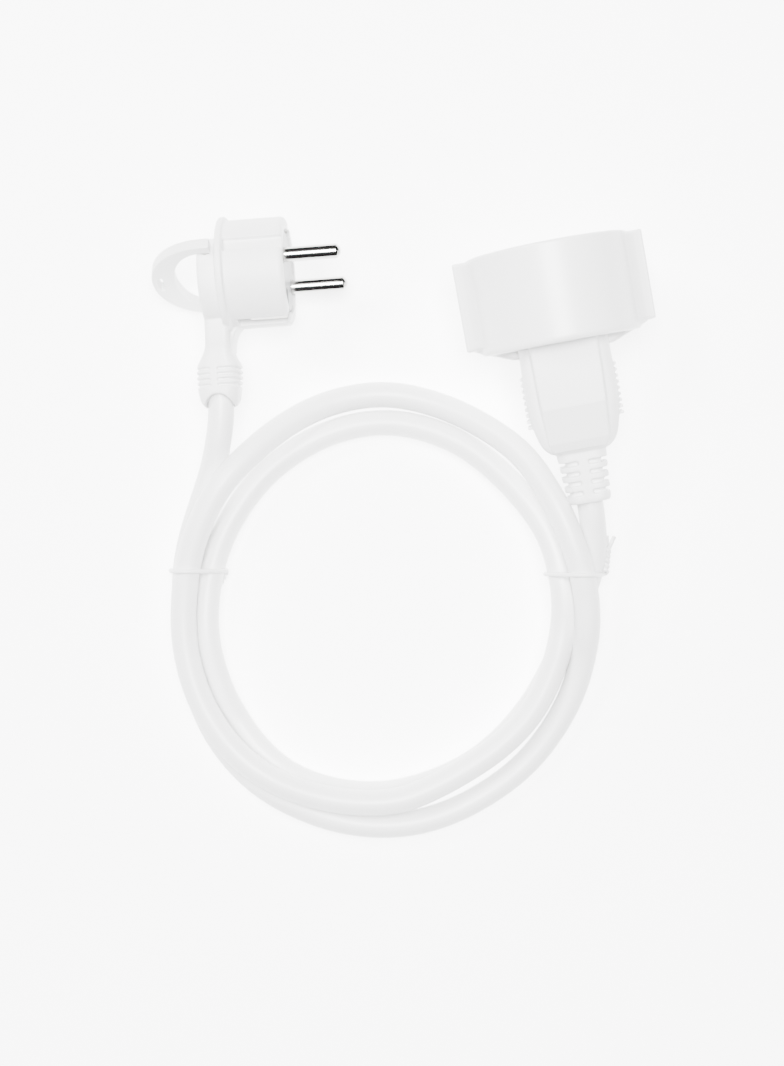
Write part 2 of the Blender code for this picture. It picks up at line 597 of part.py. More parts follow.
def connector_wires(frame):
    """Three insulated wires from the cable's end in the grip to the contacts and the bow."""
    contact_back = SOCKET_DEPTH + FLOOR_THICK + GAP + CONTACT_DEPTH
    bow_back = SOCKET_DEPTH + FLOOR_THICK + GAP + BOW_THICK
    start_y = GAP + 0.0001 - CONNECTOR_SHEATH_END
    spacing = 2 * WIRE_RADIUS + GAP
    for name, side in (("connector_wire_brown", 1), ("connector_wire_blue", -1)):
        route = [(0, start_y, side * spacing), (0, -DRUM_DEPTH - 0.0110, side * spacing),
                 (0, -DRUM_DEPTH - 0.0030, side * 0.0045), (0, -DRUM_DEPTH + 0.0007, side * 0.0057),
                 (0, -contact_back - WIRE_RADIUS, side * (PIN_SPACING / 2 - 0.0005))]
        add_object(name, tube(name, smooth_route(route, 0.0035), WIRE_RADIUS, 1), frame,
                   slot=name.replace("connector_", ""))
    route = [(0, start_y, 0), (0, -DRUM_DEPTH - 0.0110, 0), (0.0025, -DRUM_DEPTH - 0.0030, 0),
             (EARTH_WIRE_X - 0.0007, 0.0040 - DRUM_DEPTH, 0), (EARTH_WIRE_X, 0.0080 - DRUM_DEPTH, 0),
             (EARTH_WIRE_X, -bow_back - GAP - 0.0001, 0)]
    add_object("connector_wire_earth", tube(
        "connector_wire_earth", smooth_route(route, 0.0035), WIRE_RADIUS, 1), frame, slot="wire_earth")


def connector_grip(frame):
    """The soft neck behind the drum, with a raised front panel, side ribs and the slotted boot."""
    start = DRUM_DEPTH + GAP
    neck_end = start + GRIP_LENGTH
    core = loft("connector_grip", [section_across(*row) for row in (
        (start, 0, GRIP_WIDTH, 0.0270, 0.0050), (start + 0.0120, 0, GRIP_WIDTH + 0.0006, 0.0250, 0.0050),
        (start + 0.0220, 0, GRIP_WIDTH - 0.0010, 0.0220, 0.0050),
        (start + 0.0290, 0, 0.0240, 0.0185, 0.0050),
        (neck_end, 0, 0.0185, 0.0165, 0.0050), (neck_end + 0.0005, 0, 0.0160, 0.0150, 0.0045),
        (GRIP_END - 0.0008, 0, 0.0142, 0.0134, 0.0045), (GRIP_END, 0, 0.0130, 0.0124, 0.0045))])
    grip = add_object("connector_grip", core, frame, slot="soft_white")
    panels = []
    for side in (-1, 1):
        panel = loft("panel", [
            [(x * wide, -distance, side * z) for x, z in ((-1, 0), (1, 0), (0.94, height), (-0.94, height))]
            for distance, wide, height in (
                (start + 0.0004, 0.0115, 0.0160), (start + 0.0205, 0.0112, 0.0140),
                (start + 0.0290, 0.0105, 0.0105), (neck_end - 0.0005, 0.0085, 0.0084))])
        panels.append(add_object("panel", panel, frame))
        for number in range(6):
            distance = start + 0.0075 + 0.0024 * number
            low, high = sorted((side * (GRIP_WIDTH / 2 - 0.0020), side * (GRIP_WIDTH / 2 + 0.0007)))
            rib = block("side_rib", (low, -distance - 0.0005, -0.0070), (high, 0.0005 - distance, 0.0070))
            panels.append(add_object("side_rib", rib, frame))
    spigot = rod("spigot", SPIGOT_RADIUS, (0, -start - 0.001, 0), (0, -start + 0.0012, 0), 28)
    panels.append(add_object("spigot", spigot, frame))
    combine(grip, "UNION", panels)
    cutters = [
        add_object("grip_hollow", rod("grip_hollow", SPIGOT_BORE, (0, 0.0022 - start, 0),
                                      (0, -CONNECTOR_SHEATH_END, 0), 24), frame),
        add_object("grip_entry", rod("grip_entry", CABLE_RADIUS + GAP, (0, 0.001 - CONNECTOR_SHEATH_END, 0),
                                     (0, -GRIP_END - 0.001, 0), 20), frame)]
    for number in range(SLOT_COUNT):
        distance = neck_end + 0.0035 + SLOT_PITCH * number
        for side_x in (-1, 1):
            for side_z in (-1, 1):
                low_x, high_x = sorted((side_x * 0.0018, side_x * 0.0100))
                low_z, high_z = sorted((side_z * (0.0075 - SLOT_DEPTH), side_z * 0.0100))
                slot = block("boot_slot", (low_x, -distance - SLOT_HEIGHT / 2, low_z),
                             (high_x, SLOT_HEIGHT / 2 - distance, high_z))
                cutters.append(add_object("boot_slot", slot, frame))
    combine(grip, "DIFFERENCE", cutters)


def ring_band(name, inner, outer, low, high, slot=None):
    """A ring of rounded section around the coil's centre, stretched along Y."""
    radius = min(0.0042, (outer - inner) / 2.2, (high - low) / 2.2)
    middle = ((inner + outer) / 2, (low + high) / 2)
    section = [(middle[1] + z, middle[0] + r) for z, r in
               rounded_rectangle(high - low, outer - inner, radius, 3)]
    mesh = turned(name, section, "Z", 56)
    mesh.transform(Matrix.Diagonal((1, COIL_STRETCH, 1, 1)))
    return add_object(name, mesh, None, (*COIL_CENTRE, 0), slot=slot)


def cord(plug, connector):
    """The coil's outer shape, the two leads that run to it and the two twist ties on it."""
    ring_band("cable_coil", COIL_INNER, COIL_OUTER, 0.0002, COIL_HEIGHT, slot="cable_white")
    cutter = ring_band("coil_clearance", COIL_INNER - GAP, COIL_OUTER + GAP, -0.001, COIL_HEIGHT + GAP)
    bpy.context.view_layer.update()
    plug_seat = plug.matrix_world
    start = [plug_seat @ Vector((NECK_CENTRE_X, -PLUG_BOOT_END + along, 0))
             for along in (CABLE_ENTRY, CABLE_ENTRY / 2, 0.0, -0.0030)]
    lead = add_object("cable_plug_lead", tube(
        "cable_plug_lead", smooth_route([*start, *PLUG_LEAD], 0.008), CABLE_RADIUS), None,
        slot="cable_white")
    combine(lead, "DIFFERENCE", [cutter])
    seat = connector.matrix_world
    start = [seat @ Vector((0, along - GRIP_END, 0))
             for along in (2 * CABLE_ENTRY - GAP, CABLE_ENTRY, 0.0, -0.0025)]
    lead = add_object("cable_connector_lead", tube(
        "cable_connector_lead", smooth_route([*start, *CONNECTOR_LEAD], 0.006), CABLE_RADIUS), None,
        slot="cable_white")
    combine(lead, "DIFFERENCE", [cutter])
    for name, angle in TIE_ANGLES.items():
        twist_tie(name, math.radians(angle))


def twist_tie(name, angle):
    """A coated wire loop around the coil's section."""
    middle = (COIL_INNER + COIL_OUTER) / 2
    wide = (COIL_OUTER - COIL_INNER) / 2 + TIE_RADIUS + TIE_CLEARANCE
    high = COIL_HEIGHT + 2 * TIE_RADIUS + TIE_CLEARANCE
    outward = Vector((math.cos(angle), math.sin(angle), 0))
    centre = Vector((*COIL_CENTRE, 0)) + middle * outward * Vector((1, COIL_STRETCH, 1))
    outline = [(wide, 0.0008), (wide, 0.0040), (wide, 0.0110), (wide - 0.0035, high - 0.0004),
               (0, high), (0.0035 - wide, high - 0.0004), (-wide, 0.0110), (-wide, 0.0040), (-wide, 0.0008)]
    points = [centre + outward * x + Vector((0, 0, z)) for x, z in outline]
    add_object(name, tube(name, smooth_route(points, 0.003), TIE_RADIUS, 1), None, slot="soft_white")


clear_scene()
PARTS = new_collection("extension_cord")
TOOLS = new_collection("cutters")
plug_frame = new_frame("plug_frame", PLUG_PLACE, (0, -PLUG_PITCH, PLUG_TILT))
pin_frame = new_frame("pin_frame", (0, 0, 0), (PIN_ROLL, 0, 0), plug_frame)
connector_frame = new_frame(
    "connector_frame", CONNECTOR_PLACE, (CONNECTOR_PITCH, -CONNECTOR_ROLL, CONNECTOR_TILT))
plug_body(plug_frame, pin_frame)
plug_inside(pin_frame)
plug_wires(plug_frame)
pull_ring(pin_frame)
connector_housing(connector_frame)
connector_inside(connector_frame)
connector_wires(connector_frame)
connector_grip(connector_frame)
cord(plug_frame, connector_frame)
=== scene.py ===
"""Looks of the white extension cord: fine mouldings, the coiled cable, its ties and all materials."""

import json
import math

import bmesh
import bpy
import numpy as np
from mathutils import Matrix, Vector


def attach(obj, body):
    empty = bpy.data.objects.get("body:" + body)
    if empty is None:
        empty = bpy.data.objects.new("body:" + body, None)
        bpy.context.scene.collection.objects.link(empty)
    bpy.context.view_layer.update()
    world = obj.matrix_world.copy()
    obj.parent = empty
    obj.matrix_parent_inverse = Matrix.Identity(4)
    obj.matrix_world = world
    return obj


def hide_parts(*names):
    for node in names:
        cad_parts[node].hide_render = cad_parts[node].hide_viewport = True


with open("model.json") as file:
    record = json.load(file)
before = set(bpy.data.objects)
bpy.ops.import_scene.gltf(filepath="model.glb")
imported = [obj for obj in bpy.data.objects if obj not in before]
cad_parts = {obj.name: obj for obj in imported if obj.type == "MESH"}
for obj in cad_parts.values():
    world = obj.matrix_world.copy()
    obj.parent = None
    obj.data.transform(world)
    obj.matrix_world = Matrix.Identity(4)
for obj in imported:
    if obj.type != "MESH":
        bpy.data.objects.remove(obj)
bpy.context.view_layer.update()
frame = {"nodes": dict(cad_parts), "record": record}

GAP = 0.0003  # between pieces that touch
OVERLAP = 0.001  # of a cutter or a joined shape past the wall that it meets
SIDES = 128

# Placing, as in the CAD
PLUG_PLACE = (-0.0591, 0.0293, 0.01920)
PLUG_TILT, PLUG_PITCH = 3.7, 4.0
CONNECTOR_PLACE = (0.0471, 0.0358, 0.02937)
CONNECTOR_TILT, CONNECTOR_ROLL, CONNECTOR_PITCH = 10.0, 6.0, 5.0
PIN_ROLL = 65.0

# Plug
PLUG_RADIUS, FLANGE_RADIUS = 0.018, 0.0193
FLANGE_THICK, BODY_LENGTH = 0.0024, 0.0195
SLAB_THICK, SLAB_HALF, SLAB_END, SLAB_CORNER = 0.0064, 0.0152, 0.0110, 0.0034
CHAMBER_RADIUS = 0.0079
PIN_SPACING, PIN_RADIUS, PIN_LENGTH = 0.019, 0.0024, 0.019
PIN_TAIL, PIN_TAIL_RADIUS = 0.0025, 0.0015
CARRIER_RADIUS, CARRIER_DEPTH, CARRIER_RECESS = 0.0136, 0.0125, 0.0006
GUIDE_WIDTH, GUIDE_DEPTH = 0.0046, 0.0017
CLIP_WIDTH, CLIP_LENGTH = 0.0056, 0.0150
CLIP_COVER = 0.0022  # of the clip lies under the edge of its recess
CLIP_PLAY = 0.0020  # length of the seat behind the clip
SEAT_DEPTH = 0.0019
SLIT_STOP = 0.0010  # wall left between the slit and the plug's front
NECK_CENTRE_X, PLUG_BOOT_END = -0.0037, 0.0435
BOOT_SPINE_X, BOOT_SPINE_HALF = -0.0044, 0.0011
BOOT_CENTRE_X, BOOT_SECTION = -0.0036, (0.0142, 0.0144, 0.0042)  # width, height, corner radius
PLUG_GROOVES, PLUG_GROOVE_START, PLUG_GROOVE_PITCH = 4, 0.0312, 0.0018
PLUG_GROOVE_WIDTH, PLUG_GROOVE_DEPTH = 0.0007, 0.0009
WEB_THICK = 0.0100
SCALLOP_RADIUS, SCALLOP_SET = 0.0047, 0.0006  # the round bite out of the boot's end

# Pull ring
HINGE_X, RING_THICK, RING_HALF, RING_LEG, RING_REACH = -0.0034, 0.0038, 0.0193, 0.0033, 0.0205
RING_BAND = 0.0078  # at its farthest point
PEG_RADIUS, PEG_LENGTH = 0.0012, 0.0020
HANG_SLOT_IN = 0.0027  # from the ring's farthest point

# Cable
CABLE_RADIUS, CABLE_ENTRY = 0.00435, 0.0130
CABLE_STEP = 0.0035  # between points of the finished route

# Ties: a point of the table inside the strands, the heading out of the coil in degrees, the
# side of the loop where the knot is, and how the twisted ends lean
TIE_RADIUS, TIE_SLACK = 0.0007, 0.0001
TIE_TWIST, TIE_TWIST_PITCH = 0.0085, 0.0034
TIES = {
    "tie_left": ((-0.0700, -0.0690), 180.0, (-1.0, -0.5), (0.55, -0.25)),
    "tie_right": ((0.0565, -0.0700), 0.0, (1.0, 0.35), (0.08, 0.15)),
}

# Connector
DRUM_RADIUS, DRUM_DEPTH = 0.0265, 0.0350
EAR_HALF, EAR_THICK, EAR_DEPTH = 0.0310, 0.0110, 0.0295
SOCKET_RADIUS, INSERT_WALL = 0.01975, 0.0022
CAP_BACK, CONTACT_BACK, SHELL_END = 0.0250, 0.0311, 0.0318  # from the front of the drum
CONTACT_ROOM = 0.0136  # radius left free behind the cap
BOW_WIDTH, BOW_PLAY = 0.0070, 0.0005
EAR_WALL = 0.0025
GRIP_LENGTH, GRIP_WIDTH, BOOT_LENGTH = 0.0325, 0.0295, 0.0170
SPIGOT_RADIUS, GRIP_HOLLOW = 0.0095, 0.0082
RIB_COUNT, RIB_START, RIB_PITCH = 9, 0.0060, 0.0020
RIB_WIDTH, RIB_HEIGHT, RIB_SINK, RIB_HALF_LENGTH = 0.0010, 0.0010, 0.0020, 0.0075
SLOT_COUNT, SLOT_START, SLOT_PITCH = 4, 0.0036, 0.0033
SLOT_WIDTH, SLOT_DEPTH, SLOT_SPINE_HALF = 0.0015, 0.0017, 0.0016
SLOT_SECTION = (0.0152, 0.0143, 0.0040)  # width, height, corner radius
CONNECTOR_SHEATH_END = DRUM_DEPTH + GRIP_LENGTH + BOOT_LENGTH - 2 * CABLE_ENTRY

# Light and camera
WORLD_LIGHT = 0.5
LAMPS = [  # name, place, size, power
    ("overhead", (0.0, 0.05, 1.15), 0.5, 62.0),
    ("key", (-0.6, 0.5, 1.0), 0.4, 26.0),
]
LAMP_AIM = (0, -0.05, 0)
FLOOR_SIZE, FLOOR_DROP, FLOOR_GLOW = 6.0, 0.0002, 3.6
CAMERA_PLACE = (-0.0032, -0.0562, 0.550)
SENSOR = 36.0
VIEW_LONG = 0.3676  # metres of table along the picture's long side


def turn(x=0.0, y=0.0, z=0.0):
    """A rotation about X, then Y, then Z, in degrees."""
    return (Matrix.Rotation(math.radians(z), 4, "Z") @ Matrix.Rotation(math.radians(y), 4, "Y")
            @ Matrix.Rotation(math.radians(x), 4, "X"))


PLUG = Matrix.Translation(PLUG_PLACE) @ turn(0, -PLUG_PITCH, PLUG_TILT)
PINS = PLUG @ turn(PIN_ROLL)
HINGE = PINS @ Matrix.Translation((HINGE_X, 0, 0))
CONNECTOR = Matrix.Translation(CONNECTOR_PLACE) @ turn(CONNECTOR_PITCH, -CONNECTOR_ROLL, CONNECTOR_TILT)

SLID = Matrix.Translation((0, 0.0016, 0))  # the shell stands this far past the insert

# The cord's route on the table between the two boots, in millimetres
ROUTE = [
    (-60.8, -24, 17.7), (-63.6, -35.3, 15.1), (-67.6, -46.5, 10.3), (-71.4, -57.5, 6.6), (-73.9, -70, 4.6),
    (-74, -92, 4.5), (-68.6, -115, 4.5), (-54.4, -137, 4.5), (-30, -152, 4.5), (-6, -156.5, 4.5),
    (17, -152, 4.5), (41, -137, 4.5), (55, -118, 4.9), (60.5, -103, 7.3), (62.2, -90, 11.9),
    (61.7, -79, 16.5), (59.7, -69, 20.7), (56.5, -59, 24), (52.7, -50, 25.2), (48.4, -42, 23.2),
    (42.7, -32.8, 18.4), (34, -24.2, 12.6), (18, -14.6, 6.6), (0, -9.2, 4.5), (-15, -9.6, 5),
    (-29, -13.8, 7.8), (-41.2, -21.2, 12.5), (-52.2, -31, 18.2), (-61.4, -41.8, 19.6), (-67.6, -54, 19),
    (-71.7, -67, 15.2), (-73.4, -84, 13.3), (-72, -99, 13.3), (-66.9, -114.5, 13.3),
    (-57, -129, 13.3), (-46, -137.6, 13.3), (-34, -143.2, 13.3), (-18, -146.8, 13.3),
    (-2, -146.6, 13.3), (9, -142.6, 13.3), (19, -137.4, 13), (32, -129, 11.8), (43, -118, 10),
    (50, -105, 9.1), (53.8, -92.3, 10.8), (54.8, -80, 13.4), (53.4, -69, 14.2), (49.8, -57, 13.2),
    (43.5, -47.0, 11.2), (33, -35.2, 8.6), (20, -25.3, 5.8), (5, -19.6, 4.5), (-9, -18.4, 4.5),
    (-24, -21.6, 4.5), (-38, -29, 4.5), (-50, -39.5, 4.6), (-59.4, -54, 6.3), (-64.2, -67, 8.7),
    (-66.2, -80, 8.6), (-66, -93, 6.2), (-61.6, -109.5, 4.6), (-53, -125, 4.5), (-42, -136.4, 4.5),
    (-30, -142.4, 4.5), (-16, -145.4, 4.5), (0, -144.8, 4.5), (19, -138.2, 4.5), (33, -128.4, 4.5),
    (43.6, -116.4, 4.5), (51, -104, 4.6), (56, -92, 5.8), (60.3, -80.5, 9.8), (63.2, -71, 15.6),
    (64.3, -62.5, 19.6), (63.8, -55.5, 21.3),
]


# ---- Mesh work

def finished(name, shape):
    """A worked-out shape as an object in the scene, with its faces outward."""
    bmesh.ops.recalc_face_normals(shape, faces=shape.faces)
    mesh = bpy.data.meshes.new(name)
    shape.to_mesh(mesh)
    shape.free()
    obj = bpy.data.objects.new(name, mesh)
    bpy.context.scene.collection.objects.link(obj)
    return obj


def moved(obj, matrix):
    """The same object, with its mesh moved."""
    obj.data.transform(matrix)
    return obj


def block(name, low, high, bevel=0.0):
    low, high = Vector(low), Vector(high)
    shape = bmesh.new()
    bmesh.ops.create_cube(shape, size=1.0)
    bmesh.ops.scale(shape, vec=high - low, verts=shape.verts)
    bmesh.ops.translate(shape, vec=(low + high) / 2, verts=shape.verts)
    if bevel:
        bmesh.ops.bevel(shape, geom=shape.edges[:], offset=bevel, segments=3, profile=0.5,
                        affect="EDGES", clamp_overlap=True)
    return finished(name, shape)


def rod(name, radius, start, end, sides=48, end_radius=None):
    start, end = Vector(start), Vector(end)
    shape = bmesh.new()
    bmesh.ops.create_cone(shape, cap_ends=True, segments=sides, radius1=radius,
                          radius2=radius if end_radius is None else end_radius,
                          depth=(end - start).length)
    facing = Vector((0, 0, 1)).rotation_difference(end - start).to_matrix()
    bmesh.ops.rotate(shape, matrix=facing, verts=shape.verts)
    bmesh.ops.translate(shape, vec=(start + end) / 2, verts=shape.verts)
    return finished(name, shape)


def turned(name, profile, axis, sides=SIDES):
    """A solid of revolution about X or Y from (distance along the axis, radius) points."""
    shape = bmesh.new()
    along = Vector([float(letter == axis) for letter in "XYZ"])
    points = [shape.verts.new(along * step + Vector((0, 0, radius))) for step, radius in profile]
    edges = [shape.edges.new(pair) for pair in zip(points, points[1:])]
    if profile[0][1] > 0:
        edges.append(shape.edges.new((points[-1], points[0])))
    bmesh.ops.spin(shape, geom=points + edges, cent=(0, 0, 0), axis=along,
                   angle=math.tau, steps=sides, use_merge=True)
    bmesh.ops.remove_doubles(shape, verts=shape.verts, dist=0.000001)
    return finished(name, shape)


def rounded_rectangle(width, height, radius, corner_steps=8):
    points = []
    for corner in range(4):
        sign_x = 1 if corner in (0, 3) else -1
        sign_y = 1 if corner in (0, 1) else -1
        centre = (sign_x * (width / 2 - radius), sign_y * (height / 2 - radius))
        for step in range(corner_steps + 1):
            angle = math.radians(90 * corner + 90 * step / corner_steps)
            points.append((centre[0] + radius * math.cos(angle), centre[1] + radius * math.sin(angle)))
    return points


def loft(name, sections):
    """A closed skin over sections that have the same number of points."""
    shape = bmesh.new()
    rings = [[shape.verts.new(point) for point in section] for section in sections]
    count = len(rings[0])
    for near, far in zip(rings, rings[1:]):
        for i in range(count):
            shape.faces.new((near[i], near[(i + 1) % count], far[(i + 1) % count], far[i]))
    shape.faces.new(rings[0])
    shape.faces.new(rings[-1])
    return finished(name, shape)


def plate(name, outline, thickness):
    """A flat outline in XY with a thickness, centred on z = 0."""
    return loft(name, [[(x, y, z) for x, y in outline] for z in (-thickness / 2, thickness / 2)])


def blended(rows, steps):
    """Rows of numbers with smooth rows worked out between them, as a drawn curve has."""
    padded = [rows[0], *rows, rows[-1]]
    made = []
    for a, b, c, d in zip(padded, padded[1:], padded[2:], padded[3:]):
        for step in range(steps):
            t = step / steps
            made.append([0.5 * (2 * q + (r - p) * t + (2 * p - 5 * q + 4 * r - s) * t * t
                                + (3 * q - 3 * r + s - p) * t ** 3) for p, q, r, s in zip(a, b, c, d)])
    return [*made, list(rows[-1])]


def moulded(obj, joins=(), cuts=(), voxel=0.00035, smoothing=4):
    """Joins and cuts shapes, then rounds every edge a little, as a mould does."""
    for operation, tools in (("UNION", joins), ("DIFFERENCE", cuts)):
        for tool in tools:
            modifier = obj.modifiers.new(tool.name, "BOOLEAN")
            modifier.operation = operation
            modifier.object = tool
    remesh = obj.modifiers.new("remesh", "REMESH")
    remesh.mode = "VOXEL"
    remesh.voxel_size = voxel
    soften = obj.modifiers.new("soften", "SMOOTH")
    soften.factor = 0.5
    soften.iterations = smoothing
    graph = bpy.context.evaluated_depsgraph_get()
    mesh = bpy.data.meshes.new_from_object(obj.evaluated_get(graph))
    obj.modifiers.clear()
    obj.data = mesh
    mesh.shade_smooth()
    for tool in (*joins, *cuts):
        bpy.data.objects.remove(tool, do_unlink=True)
    return obj


def dressed(obj, material, slot, body, *nodes):
    """Gives a piece its material, its body and the CAD nodes that it stands for."""
    obj.data.materials.clear()
    obj.data.materials.append(material)
    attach(obj, body)
    if nodes:
        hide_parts(*nodes)


# ---- Materials

def noise(material, vector, scale, detail):
    """A noise pattern; it returns its strength."""
    texture = material.node_tree.nodes.new("ShaderNodeTexNoise")
    texture.inputs["Scale"].default_value = scale
    texture.inputs["Detail"].default_value = detail
    material.node_tree.links.new(vector, texture.inputs["Vector"])
    return texture.outputs["Fac"]


def varied(material, pattern, colour, darkest, roughness, dull):
    """Colour and gloss that drift a little with a pattern."""
    nodes, links = material.node_tree.nodes, material.node_tree.links
    shader = nodes["Principled BSDF"]
    tint = nodes.new("ShaderNodeMix")
    tint.data_type = "RGBA"
    tint.inputs["A"].default_value = (*[darkest * c for c in colour], 1.0)
    tint.inputs["B"].default_value = (*colour, 1.0)
    links.new(pattern, tint.inputs["Factor"])
    links.new(tint.outputs["Result"], shader.inputs["Base Color"])
    gloss = nodes.new("ShaderNodeMapRange")
    gloss.inputs["To Min"].default_value = roughness - 0.05
    gloss.inputs["To Max"].default_value = roughness + dull
    links.new(pattern, gloss.inputs["Value"])
    links.new(gloss.outputs["Result"], shader.inputs["Roughness"])


def plastic(name, colour, roughness, grain, grain_scale, coat=0.0, translucence=0.0):
    """Moulded plastic: slight colour and gloss changes, and a fine surface grain."""
    material = bpy.data.materials.new(name)
    material.use_nodes = True
    nodes, links = material.node_tree.nodes, material.node_tree.links
    shader = nodes["Principled BSDF"]
    shader.inputs["Coat Weight"].default_value = coat
    shader.inputs["Coat Roughness"].default_value = 0.25
    shader.inputs["Subsurface Weight"].default_value = translucence
    shader.inputs["Subsurface Radius"].default_value = (0.0012, 0.0011, 0.0010)
    place = nodes.new("ShaderNodeTexCoord").outputs["Object"]
    varied(material, noise(material, place, 60.0, 4.0), colour, 0.975, roughness, 0.06)
    bump = nodes.new("ShaderNodeBump")
    bump.inputs["Strength"].default_value = grain
    bump.inputs["Distance"].default_value = 0.00005
    links.new(noise(material, place, grain_scale, 3.0), bump.inputs["Height"])
    links.new(bump.outputs["Normal"], shader.inputs["Normal"])
    return material


def metal(name, colour, roughness, streak_scale):
    """Plated or drawn metal with fine streaks along X."""
    material = bpy.data.materials.new(name)
    material.use_nodes = True
    nodes, links = material.node_tree.nodes, material.node_tree.links
    nodes["Principled BSDF"].inputs["Metallic"].default_value = 1.0
    stretch = nodes.new("ShaderNodeMapping")
    stretch.inputs["Scale"].default_value = (0.06, 1.0, 1.0)
    links.new(nodes.new("ShaderNodeTexCoord").outputs["Object"], stretch.inputs["Vector"])
    streaks = noise(material, stretch.outputs["Vector"], streak_scale, 5.0)
    varied(material, streaks, colour, 0.9, roughness, 0.07)
    return material


def earth_insulation():
    """Green wire insulation with two yellow stripes along it."""
    material = plastic("wire_earth_finish", (0.10, 0.38, 0.06), 0.45, 0.2, 2500)
    nodes, links = material.node_tree.nodes, material.node_tree.links
    shader = nodes["Principled BSDF"]
    wave = nodes.new("ShaderNodeTexWave")
    wave.bands_direction = "Z"
    wave.inputs["Scale"].default_value = 110.0
    place = nodes.new("ShaderNodeTexCoord")
    links.new(place.outputs["Object"], wave.inputs["Vector"])
    ramp = nodes.new("ShaderNodeValToRGB")
    ramp.color_ramp.interpolation = "CONSTANT"
    ramp.color_ramp.elements[0].color = (0.10, 0.38, 0.06, 1.0)
    ramp.color_ramp.elements[1].color = (0.80, 0.62, 0.05, 1.0)
    ramp.color_ramp.elements[1].position = 0.6
    links.new(wave.outputs["Fac"], ramp.inputs["Fac"])
    links.new(ramp.outputs["Color"], shader.inputs["Base Color"])
    return material


WHITE = (0.86, 0.86, 0.857)
SOFT = plastic("soft_white_finish", WHITE, 0.42, 0.25, 3200, translucence=0.05)
HARD = plastic("hard_white_finish", WHITE, 0.34, 0.15, 2600, coat=0.15, translucence=0.04)
SHEATH = plastic("cable_white_finish", WHITE, 0.38, 0.3, 1800, coat=0.1, translucence=0.05)
TIE = plastic("tie_white_finish", (0.87, 0.87, 0.865), 0.35, 0.2, 2600)
# The carrier's grey-white, darkened with painted shade that stands for the shade in its recess
GREY_WITH_PAINTED_SHADE = plastic("grey_white_painted_shade_finish", (0.40, 0.405, 0.41), 0.4, 0.2, 2600)
NICKEL = metal("nickel_finish", (0.56, 0.555, 0.54), 0.15, 900)
BRASS = metal("brass_finish", (0.78, 0.60, 0.30), 0.28, 900)
BROWN = plastic("wire_brown_finish", (0.22, 0.09, 0.04), 0.45, 0.2, 2500)
BLUE = plastic("wire_blue_finish", (0.05, 0.18, 0.55), 0.45, 0.2, 2500)
EARTH = earth_insulation()


# ---- Plug

def half_ring(name, centre_x, distance, height, section, depth, side, spine_x, spine_half):
    """A cutter for one side of a boot groove: a bent strip that follows the boot's section."""
    width_x, width_z, radius = section
    inner = [(x + centre_x, z) for x, z in rounded_rectangle(width_x - 2 * depth, width_z - 2 * depth,
                                                             max(radius - depth, 0.0005))]
    edge = spine_x + side * spine_half
    kept = [p for p in inner if side * (p[0] - edge) > 0]
    kept.sort(key=lambda p: math.atan2(p[1], side * (p[0] - edge)))
    low, high = kept[0][1], kept[-1][1]
    beyond, outside = 0.01, edge + side * width_x
    outline = [(edge, low), *kept, (edge, high), (edge, high + beyond), (outside, high + beyond),
               (outside, low - beyond), (edge, low - beyond)]
    return loft(name, [[(x, y, z) for x, z in outline]
                       for y in (-distance - height / 2, height / 2 - distance)])


def side_cuts(front):
    """The guide groove, the earth clip's recess and the peg's hole of one side of the plug."""
    outside = PLUG_RADIUS + 2 * OVERLAP
    seat_start = front - CLIP_LENGTH - CLIP_PLAY
    strap_back = front - CARRIER_RECESS - CARRIER_DEPTH
    low, high = -CLIP_WIDTH / 2 - 2 * GAP, CLIP_WIDTH / 2 - CLIP_COVER
    reach = RING_HALF - RING_LEG - PEG_LENGTH - 2 * GAP
    return [
        block("guide", (FLANGE_THICK + GAP, PLUG_RADIUS - GUIDE_DEPTH, -GUIDE_WIDTH / 2),
              (front + OVERLAP, outside, GUIDE_WIDTH / 2)),
        block("clip_recess", (strap_back - GAP, low, CARRIER_RADIUS - OVERLAP),
              (front + OVERLAP, high, outside)),
        block("clip_seat", (seat_start, low, PLUG_RADIUS - SEAT_DEPTH), (front + OVERLAP, high, outside)),
        block("clip_slit", (seat_start, low - 2 * GAP, CARRIER_RADIUS + 2 * GAP),
              (front - SLIT_STOP, low + 3 * GAP, outside)),
        rod("peg_hole", PEG_RADIUS + GAP, (HINGE_X, reach, 0), (HINGE_X, RING_HALF + OVERLAP, 0))]


def plug_slab():
    """The flat back of the plug that the ring folds onto: a half round with a bowed straight side."""
    rise = SLAB_END - SLAB_CORNER
    end_radius = (SLAB_HALF ** 2 + rise ** 2) / (2 * rise)
    half_angle = math.asin(SLAB_HALF / end_radius)
    outline = []
    for step in range(33):
        angle = half_angle * (1 - step / 16)
        outline.append((end_radius * math.sin(angle), end_radius * (1 - math.cos(angle)) - SLAB_END))
    for step in range(49):
        angle = math.radians(180 + 180 * step / 48)
        outline.append((SLAB_HALF * math.cos(angle), 0.002 - SLAB_HALF * math.sin(angle)))
    slab = loft("slab", [[(x, inset * y, inset * z) for y, z in outline] for x, inset in (
        (FLANGE_THICK / 2, 1), (-SLAB_THICK + 0.0010, 1), (-SLAB_THICK + 0.0003, 0.985),
        (-SLAB_THICK, 0.955))])
    return moved(slab, turn(PIN_ROLL))


